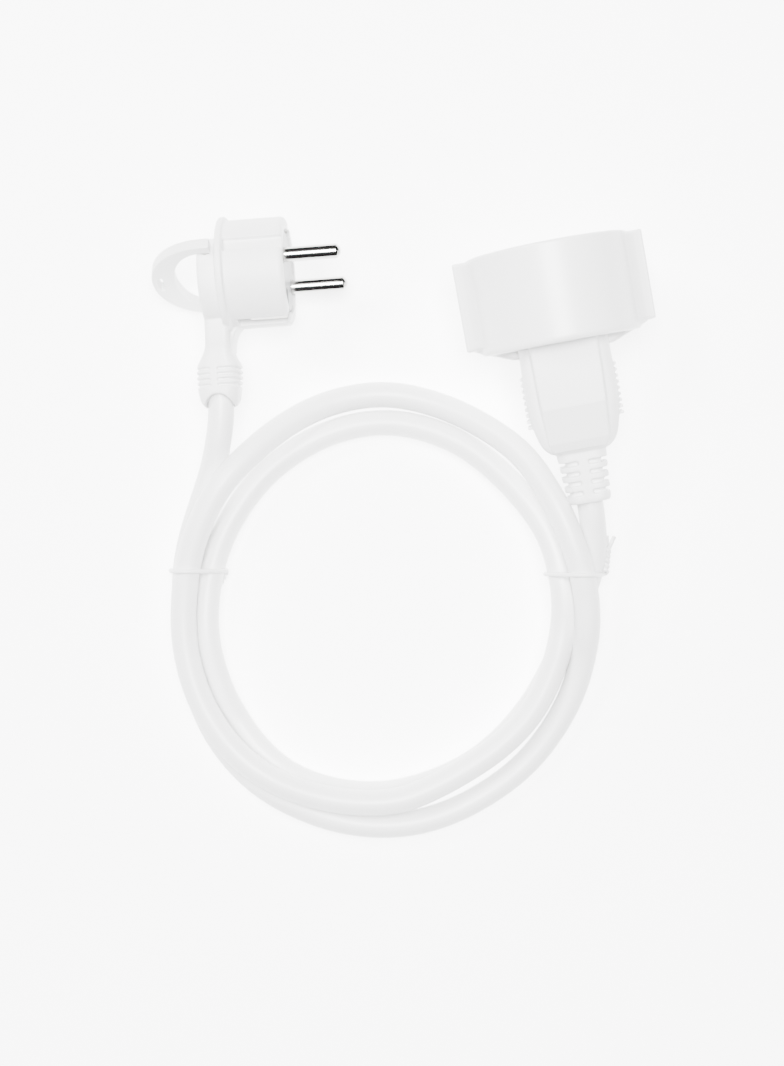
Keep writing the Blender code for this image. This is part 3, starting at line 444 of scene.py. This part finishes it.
def plug_neck():
    """The neck from the plug's side, and the boot at its end."""
    rows = blended([  # distance, centre, width, height, corner radius
        (0.0040, -0.0022, 0.0082, 0.0180, 0.0016),
        (0.0140, -0.0023, 0.0080, 0.0170, 0.0015),
        (0.0210, -0.0026, 0.0079, 0.0160, 0.0015),
        (0.0245, -0.0029, 0.0084, 0.0150, 0.0020),
        (0.0275, -0.0032, 0.0110, 0.0147, 0.0030),
        (0.0302, -0.0033, 0.0141, 0.0146, 0.0040),
        (0.0345, -0.0035, 0.0143, 0.0144, 0.0042),
        (0.0390, NECK_CENTRE_X, 0.0135, 0.0138, 0.0044),
        (0.0420, NECK_CENTRE_X, 0.0122, 0.0124, 0.0046),
        (PLUG_BOOT_END, NECK_CENTRE_X, 0.0100, 0.0102, 0.0045)], 6)
    return loft("neck", [[(row[1] + x, -row[0], z) for x, z in rounded_rectangle(*row[2:])]
                         for row in rows])


def plug_web():
    """The gusset between the neck and the round body."""
    outline = [(0.0000, -0.0140), (0.0062, -0.0140), (0.0047, -0.0174), (0.0034, -0.0188),
               (0.0025, -0.0206), (0.0020, -0.0226), (0.0018, -0.0250), (0.0000, -0.0260)]
    return moved(plate("web", outline, WEB_THICK), Matrix.Translation((0, 0, -0.0012)))


def boot_cuts():
    """The bite out of the boot's end and the grooves on its two sides."""
    scallop_y = -PLUG_BOOT_END - SCALLOP_SET
    cuts = [rod("boot_scallop", SCALLOP_RADIUS, (NECK_CENTRE_X, scallop_y, SCALLOP_SET),
                (NECK_CENTRE_X, scallop_y, 0.010), 64)]
    for number in range(PLUG_GROOVES):
        distance = PLUG_GROOVE_START + PLUG_GROOVE_PITCH * number
        for side in (-1, 1):
            cuts.append(half_ring("groove", BOOT_CENTRE_X, distance, PLUG_GROOVE_WIDTH, BOOT_SECTION,
                                  PLUG_GROOVE_DEPTH, side, BOOT_SPINE_X, BOOT_SPINE_HALF))
    return cuts


def make_plug_body():
    front = FLANGE_THICK + BODY_LENGTH
    body = turned("plug_body_moulding", [
        (0, 0), (0, FLANGE_RADIUS - 0.0008), (0.0003, FLANGE_RADIUS - 0.0002), (0.0008, FLANGE_RADIUS),
        (FLANGE_THICK - 0.0006, FLANGE_RADIUS), (FLANGE_THICK - 0.0001, FLANGE_RADIUS - 0.0003),
        (FLANGE_THICK, PLUG_RADIUS + 0.0003), (FLANGE_THICK + 0.0004, PLUG_RADIUS),
        (front - 0.0014, PLUG_RADIUS), (front - 0.0006, PLUG_RADIUS - 0.0003),
        (front - 0.0001, PLUG_RADIUS - 0.0009), (front, PLUG_RADIUS - 0.0014), (front, 0)], "X")
    cuts = [
        rod("pocket", CARRIER_RADIUS + GAP, (0.0030, 0, 0), (front + OVERLAP, 0, 0), SIDES),
        rod("chamber", CHAMBER_RADIUS, (-0.0038, 0, 0), (0.0035, 0, 0), 64, CHAMBER_RADIUS + 0.0050),
        block("channel", (-0.0036, -0.0320, -0.0050), (-0.0006, -0.0050, 0.0050)),
        rod("entry", CABLE_RADIUS + GAP / 2, (NECK_CENTRE_X, -PLUG_BOOT_END - OVERLAP, 0),
            (NECK_CENTRE_X, CABLE_ENTRY - PLUG_BOOT_END, 0), 64)]
    for side in (0, 180):
        cuts += [moved(cut, turn(PIN_ROLL + side)) for cut in side_cuts(front)]
    cuts += boot_cuts()
    moulded(body, [plug_slab(), plug_neck(), plug_web()], cuts, voxel=0.0003, smoothing=3)
    moved(body, PLUG)
    dressed(body, SOFT, "soft_white", "root", "plug_body")


def make_pull_ring():
    outer, inner = [], []
    for step in range(65):
        angle = math.radians(180 * step / 64)
        outer.append((-RING_REACH * math.sin(angle) ** 0.9, RING_HALF * math.cos(angle)))
        inner.append((-(RING_REACH - RING_BAND) * math.sin(angle) ** 0.8,
                      (RING_HALF - RING_LEG) * math.cos(angle)))
    ahead = RING_THICK / 2
    outline = [(ahead, RING_HALF), *outer, (ahead, -RING_HALF), (ahead, RING_LEG - RING_HALF),
               *reversed(inner), (ahead, RING_HALF - RING_LEG)]
    ring = plate("pull_ring_moulding", outline, RING_THICK)
    pegs = [rod("peg", PEG_RADIUS, (0, side * (RING_HALF - RING_LEG - PEG_LENGTH), 0),
                (0, side * (RING_HALF - RING_LEG / 2), 0)) for side in (-1, 1)]
    arc = [(-0.0010, 0.0), (-0.0006, -0.0034), (0.0012, -0.0036), (0.0010, 0.0), (0.0012, 0.0036),
           (-0.0006, 0.0034)]
    slot = moved(plate("hang_slot", arc, RING_THICK + 2 * OVERLAP),
                 Matrix.Translation((HANG_SLOT_IN - RING_REACH, 0, 0)))
    moulded(ring, pegs, [slot], voxel=0.00025, smoothing=5)
    moved(ring, HINGE)
    dressed(ring, SOFT, "soft_white", "pull_ring", "pull_ring")


def make_pins():
    front = FLANGE_THICK + BODY_LENGTH - CARRIER_RECESS
    back = front - CARRIER_DEPTH
    tip = front + PIN_LENGTH
    for side, name in ((1, "plug_pin_live"), (-1, "plug_pin_neutral")):
        pin = turned(name + "_plated", [
            (back - PIN_TAIL, 0), (back - PIN_TAIL, PIN_TAIL_RADIUS), (back - GAP, PIN_TAIL_RADIUS),
            (back - GAP, PIN_RADIUS), (tip - 0.0016, PIN_RADIUS), (tip - 0.0012, PIN_RADIUS - 0.0001),
            (tip - 0.0003, PIN_RADIUS - 0.0011), (tip - 0.0001, PIN_RADIUS - 0.0015),
            (tip, PIN_RADIUS - 0.0019), (tip, 0)], "X", 64)
        moved(pin, PINS @ Matrix.Translation((0, side * PIN_SPACING / 2, 0)))
        pin.data.shade_smooth()
        pin.data.set_sharp_from_angle(angle=math.radians(60))
        dressed(pin, NICKEL, "nickel", "root", name)


# ---- Connector

def ear_fillets():
    """The four hollow curves between the drum's round side and the flat ears."""
    curve = [(0.0200, 0.0040), (0.0240, 0.0112), (0.0250, 0.0090), (0.0263, 0.0074), (0.0280, 0.0062),
             (0.0300, 0.0055), (0.0300, 0.0040)]
    return [loft("ear_fillet", [[(side * x, y, face * z) for x, z in curve]
                                for y in (0.0006 - EAR_DEPTH, -0.0012)])
            for side in (-1, 1) for face in (-1, 1)]


def make_housing():
    housing = turned("connector_housing_shell", [
        (0, 0), (0, DRUM_RADIUS - 0.0006), (-0.0002, DRUM_RADIUS - 0.0002), (-0.0006, DRUM_RADIUS),
        (0.0014 - SHELL_END, DRUM_RADIUS), (0.0004 - SHELL_END, DRUM_RADIUS - 0.0004),
        (-SHELL_END, DRUM_RADIUS - 0.0014), (-SHELL_END, 0)], "Y")
    ears = block("ears", (-EAR_HALF, -EAR_DEPTH, -EAR_THICK / 2), (EAR_HALF, -0.0005, EAR_THICK / 2), 0.0005)
    shoulder = loft("shoulder", [
        [(x, y, z) for x, z in rounded_rectangle(width, EAR_THICK - 0.002, 0.002)] for y, width in (
            (-EAR_DEPTH + 0.0022, 2 * EAR_HALF - 0.0012), (-EAR_DEPTH - 0.0006, 2 * EAR_HALF - 0.0060),
            (-DRUM_DEPTH + 0.0003, GRIP_WIDTH + 0.0035))])
    bore, spigot_hole = SOCKET_RADIUS + INSERT_WALL + GAP, SPIGOT_RADIUS + GAP
    cuts = [
        turned("bore", [(0.003, 0), (0.003, bore), (-CAP_BACK, bore), (-CAP_BACK, CONTACT_ROOM),
                        (-CONTACT_BACK, CONTACT_ROOM), (-CONTACT_BACK, spigot_hole),
                        (-DRUM_DEPTH - 0.004, spigot_hole), (-DRUM_DEPTH - 0.004, 0)], "Y"),
        block("ear_pockets", (EAR_WALL - EAR_HALF, -EAR_DEPTH + 0.003, -BOW_WIDTH / 2 - BOW_PLAY),
              (EAR_HALF - EAR_WALL, OVERLAP, BOW_WIDTH / 2 + BOW_PLAY))]
    moulded(housing, [ears, shoulder, *ear_fillets()], cuts, voxel=0.0004, smoothing=3)
    moved(housing, CONNECTOR @ SLID)
    dressed(housing, HARD, "hard_white", "root", "connector_housing")


def grip_panel(side):
    """The raised flat panel on the upper or lower face of the grip."""
    start = DRUM_DEPTH + GAP
    rows = blended([  # distance, half width, height
        (SHELL_END - 0.0004, 0.0116, 0.0166), (start + 0.0080, 0.0114, 0.0157),
        (start + 0.0172, 0.0111, 0.0149)], 4)
    rows += [(start + 0.0180, 0.0110, 0.0146), (start + 0.0285, 0.0104, 0.0112),
             (start + GRIP_LENGTH - 0.0010, 0.0092, 0.0093)]
    section = [(-1, 0), (1, 0), (0.955, 0.93), (0.92, 1), (-0.92, 1), (-0.955, 0.93)]
    return loft("panel", [[(x * wide, -distance, side * z * high) for x, z in section]
                          for distance, wide, high in rows])


def grip_ribs(side):
    """The finger ribs on the left or right side of the grip."""
    low, high = sorted((side * (GRIP_WIDTH / 2 - RIB_SINK), side * (GRIP_WIDTH / 2 + RIB_HEIGHT)))
    ribs = []
    for number in range(RIB_COUNT):
        distance = DRUM_DEPTH + GAP + RIB_START + RIB_PITCH * number
        ribs.append(block("side_rib", (low, -distance - RIB_WIDTH / 2, -RIB_HALF_LENGTH),
                          (high, RIB_WIDTH / 2 - distance, RIB_HALF_LENGTH)))
    return ribs


def make_grip():
    start = DRUM_DEPTH + GAP
    neck_end = start + GRIP_LENGTH
    boot_end = neck_end + BOOT_LENGTH
    rows = blended([  # distance, width, height, corner radius
        (SHELL_END - 0.0005, GRIP_WIDTH - 0.0004, 0.0270, 0.0040),
        (start + 0.0080, GRIP_WIDTH + 0.0002, 0.0256, 0.0040),
        (start + 0.0150, GRIP_WIDTH + 0.0004, 0.0240, 0.0040),
        (start + 0.0220, 0.0284, 0.0218, 0.0040),
        (start + 0.0270, 0.0262, 0.0196, 0.0040),
        (start + 0.0300, 0.0234, 0.0180, 0.0040),
        (neck_end - 0.0006, 0.0196, 0.0166, 0.0040)], 5)
    rows += blended([
        (neck_end, 0.0164, 0.0152, 0.0040), (neck_end + 0.0080, 0.0153, 0.0144, 0.0040),
        (boot_end - 0.0010, 0.0143, 0.0135, 0.0040)], 5)
    rows.append((boot_end, 0.0134, 0.0126, 0.0040))
    grip = loft("connector_grip_moulding", [
        [(x, -row[0], z) for x, z in rounded_rectangle(row[1], row[2], row[3])] for row in rows])
    joins = [piece for side in (-1, 1) for piece in (grip_panel(side), *grip_ribs(side))]
    joins.append(rod("spigot", SPIGOT_RADIUS, (0, -start - OVERLAP, 0), (0, -CONTACT_BACK, 0)))
    cuts = [
        rod("hollow", GRIP_HOLLOW, (0, 0.0022 - start, 0), (0, -CONNECTOR_SHEATH_END, 0), 64),
        rod("entry", CABLE_RADIUS + GAP / 2, (0, OVERLAP - CONNECTOR_SHEATH_END, 0),
            (0, -boot_end - OVERLAP, 0), 64)]
    for number in range(SLOT_COUNT):
        distance = neck_end + SLOT_START + SLOT_PITCH * number
        for side in (-1, 1):
            cuts.append(half_ring("slot", 0.0, distance, SLOT_WIDTH, SLOT_SECTION, SLOT_DEPTH, side,
                                  0.0, SLOT_SPINE_HALF))
    moulded(grip, joins, cuts, voxel=0.0003, smoothing=2)
    moved(grip, CONNECTOR @ SLID)
    dressed(grip, SOFT, "soft_white", "root", "connector_grip")


# ---- Cable and ties

def smooth_route(points, spacing):
    """Evenly spaced points on a curve through the route, with small kinks eased out."""
    dense = [Vector(row) for row in blended([tuple(p) for p in points], 12)]
    held = 14  # points at each end that stay in line with the boot
    for _ in range(30):
        middle = [(a + b * 2 + c) / 4 for a, b, c in zip(dense, dense[1:], dense[2:])]
        dense = [*dense[:held], *middle[held - 1:1 - held], *dense[-held:]]
    lengths = [0.0]
    for a, b in zip(dense, dense[1:]):
        lengths.append(lengths[-1] + (b - a).length)
    count = round(lengths[-1] / spacing)
    chosen, index = [], 0
    for number in range(count + 1):
        target = lengths[-1] * number / count
        while index < len(lengths) - 2 and lengths[index + 1] < target:
            index += 1
        share = (target - lengths[index]) / max(lengths[index + 1] - lengths[index], 1e-9)
        chosen.append(dense[index].lerp(dense[index + 1], min(max(share, 0.0), 1.0)))
    return chosen, lengths[-1]


def wire(name, points, radius, resolution):
    """A round wire along points."""
    curve = bpy.data.curves.new(name, "CURVE")
    curve.dimensions = "3D"
    curve.bevel_depth = radius
    curve.bevel_resolution = resolution
    curve.use_fill_caps = True
    spline = curve.splines.new("POLY")
    spline.points.add(len(points) - 1)
    for point, place in zip(spline.points, points):
        point.co = (*place, 1)
    spline.use_smooth = True
    obj = bpy.data.objects.new(name, curve)
    bpy.context.scene.collection.objects.link(obj)
    return obj


def cord_points():
    """The whole route in metres: straight out of the plug's boot, and straight into the connector's."""
    plug_end = [PLUG @ Vector((NECK_CENTRE_X, along - PLUG_BOOT_END, 0))
                for along in (CABLE_ENTRY - GAP, CABLE_ENTRY / 2, 0.0)]
    boot_end = DRUM_DEPTH + GAP + GRIP_LENGTH + BOOT_LENGTH
    connector_end = [CONNECTOR @ Vector((0, along - boot_end, 0))
                     for along in (0.0, CABLE_ENTRY, 2 * CABLE_ENTRY - GAP)]
    return [*plug_end, *[Vector(place) / 1000 for place in ROUTE], *connector_end]


def stacked(points):
    """Lifts strands that cross until they rest on each other; seen from above nothing moves."""
    place = np.array([tuple(point) for point in points])
    count = len(place)
    apart = np.hypot(*(place[:, None, axis] - place[None, :, axis] for axis in (0, 1)))
    index = np.arange(count)
    other_strand = np.abs(index[:, None] - index[None, :]) > 8
    pairs = (apart < 2 * CABLE_RADIUS) & other_strand
    needed = np.sqrt(np.maximum((2 * CABLE_RADIUS) ** 2 - apart ** 2, 0.0))
    free = (index > 7) & (index < count - 9)  # the ends stay in their boots
    push, pull = 0.3, 0.02  # how far one round parts two strands, and draws them back to the route
    chosen = place[:, 2]
    height = chosen
    for _ in range(600):
        rise = height[:, None] - height[None, :]
        short = np.where(pairs & (rise >= 0) & (rise < needed), needed - rise, 0.0)
        height = height + push * (short.max(axis=1) - short.max(axis=0)) + pull * (chosen - height)
        eased = (np.roll(height, 1) + np.roll(height, -1) + 2 * height) / 4
        height = np.where(free, np.maximum(eased, CABLE_RADIUS), chosen)
    return [Vector((x, y, z)) for (x, y, _), z in zip(place, height)]


def make_cord():
    points, length = smooth_route(cord_points(), CABLE_STEP)
    points = stacked(points)
    cable = wire("cable", points, CABLE_RADIUS, 8)
    dressed(cable, SHEATH, "cable_white", "root", "cable_plug_lead", "cable_coil", "cable_connector_lead")
    ties = [make_tie(name, points, *placing) for name, placing in TIES.items()]


def make_tie(name, cable_points, centre, heading, knot, lean):
    """A coated wire loop drawn tight around the strands that cross its plane."""
    outward = Vector((math.cos(math.radians(heading)), math.sin(math.radians(heading)), 0))
    along = Vector((0, 0, 1)).cross(outward)
    base = Vector((*centre, 0))
    hits = []
    for a, b in zip(cable_points, cable_points[1:]):
        low, high = (a - base).dot(along), (b - base).dot(along)
        if low * high <= 0 and abs((a - base).dot(outward)) < 0.03:
            cross = a.lerp(b, low / (low - high) if low != high else 0)
            hits.append(((cross - base).dot(outward), cross.z))
    reach = CABLE_RADIUS + TIE_RADIUS + TIE_SLACK
    around = [(x + reach * math.cos(t), z + reach * math.sin(t))
              for x, z in hits for t in [math.tau * k / 40 for k in range(40)]]
    around = [(x, max(z, TIE_RADIUS)) for x, z in around]
    hull = convex_hull(around)
    loop = [base + outward * x + Vector((0, 0, z)) for x, z in hull]
    start = max(range(len(hull)), key=lambda i: hull[i][0] * knot[0] + hull[i][1] * knot[1])
    ring = [*loop[start:], *loop[:start + 1]]
    run = (along + outward * lean[0] + Vector((0, 0, lean[1]))).normalized()
    pieces = [wire(name + "_loop", ring, TIE_RADIUS, 3), *twisted_tail(name, ring[0], run)]
    return joined(name + "_wire", pieces, name)


def twisted_tail(name, start, run):
    """The two ends of a tie: a short twist, then each end splayed a little."""
    side = run.cross(Vector((0, 0, 1))).normalized()
    lift = side.cross(run)
    swing, count = 1.05 * TIE_RADIUS, 40
    pieces = []
    for strand in (0, 1):
        points = [start]
        for step in range(count + 1):
            travel = TIE_TWIST * step / count
            angle = math.tau * travel / TIE_TWIST_PITCH + math.pi * strand
            points.append(start + run * (travel + 0.0008)
                          + side * (swing * math.cos(angle)) + lift * (swing * math.sin(angle)))
        spread = 1.0 if strand else -0.3
        for reach in (0.0020, 0.0045):
            points.append(start + run * (TIE_TWIST + reach) + side * (spread * (0.0004 + 0.35 * reach)))
        pieces.append(wire(name + "_end", points, TIE_RADIUS, 3))
    return pieces


def convex_hull(points):
    """The points of a flat cloud that a tight loop around it touches, in order."""
    ordered = sorted(set((round(x, 6), round(z, 6)) for x, z in points))

    def chain(run):
        kept = []
        for p in run:
            while len(kept) > 1 and ((kept[-1][0] - kept[-2][0]) * (p[1] - kept[-2][1])
                                     - (kept[-1][1] - kept[-2][1]) * (p[0] - kept[-2][0])) <= 0:
                kept.pop()
            kept.append(p)
        return kept[:-1]
    return chain(ordered) + chain(ordered[::-1])


def joined(name, curves, node):
    """One mesh piece from several wires."""
    graph = bpy.context.evaluated_depsgraph_get()
    shape = bmesh.new()
    for obj in curves:
        shape.from_mesh(bpy.data.meshes.new_from_object(obj.evaluated_get(graph)))
        bpy.data.objects.remove(obj, do_unlink=True)
    bmesh.ops.remove_doubles(shape, verts=shape.verts, dist=0.000001)
    piece = finished(name, shape)
    piece.data.shade_smooth()
    dressed(piece, TIE, "tie_white", "root", node)
    return piece


# ---- Carried-over nodes

def dress_nodes():
    """Gives the CAD nodes that stay as they are the material of their slot."""
    # the grey_white slot gets the carrier's grey-white darkened with painted shade
    finishes = {"nickel": NICKEL, "brass": BRASS, "hard_white": HARD, "grey_white": GREY_WITH_PAINTED_SHADE,
                "wire_brown": BROWN, "wire_blue": BLUE, "wire_earth": EARTH, "soft_white": SOFT}
    slots = {row["node"]: row["material_slot"] for row in frame["record"]["subparts"]}
    for name, obj in frame["nodes"].items():
        if slots[name] in finishes:
            obj.data.materials.clear()
            obj.data.materials.append(finishes[slots[name]])


# ---- Room

def make_room():
    bpy.ops.mesh.primitive_plane_add(size=FLOOR_SIZE, location=(0, 0, -FLOOR_DROP))
    floor = bpy.context.object
    floor.name = "floor"
    material = bpy.data.materials.new("floor_finish")
    material.use_nodes = True
    shader = material.node_tree.nodes["Principled BSDF"]
    shader.inputs["Base Color"].default_value = (0.98, 0.98, 0.98, 1.0)
    shader.inputs["Roughness"].default_value = 0.9
    shader.inputs["Emission Color"].default_value = (1.0, 1.0, 1.0, 1.0)
    shader.inputs["Emission Strength"].default_value = FLOOR_GLOW
    floor.data.materials.append(material)
    world = bpy.context.scene.world or bpy.data.worlds.new("world")
    bpy.context.scene.world = world
    world.use_nodes = True
    world.node_tree.nodes["Background"].inputs["Strength"].default_value = WORLD_LIGHT
    for name, place, size, power in LAMPS:
        lamp = bpy.data.lights.new(name, "AREA")
        lamp.size = size
        lamp.energy = power
        obj = bpy.data.objects.new(name, lamp)
        bpy.context.scene.collection.objects.link(obj)
        obj.location = place
        obj.rotation_euler = (Vector(LAMP_AIM) - Vector(place)).to_track_quat("-Z", "Y").to_euler()


def make_camera():
    camera = bpy.data.cameras.new("camera")
    camera.sensor_width = SENSOR
    camera.lens = SENSOR * CAMERA_PLACE[2] / VIEW_LONG
    camera.clip_start = 0.01
    obj = bpy.data.objects.new("camera", camera)
    obj.location = CAMERA_PLACE
    bpy.context.scene.collection.objects.link(obj)
    bpy.context.scene.camera = obj


make_camera()
make_cord()
make_plug_body()
make_pull_ring()
make_pins()
make_housing()
make_grip()
dress_nodes()
make_room()
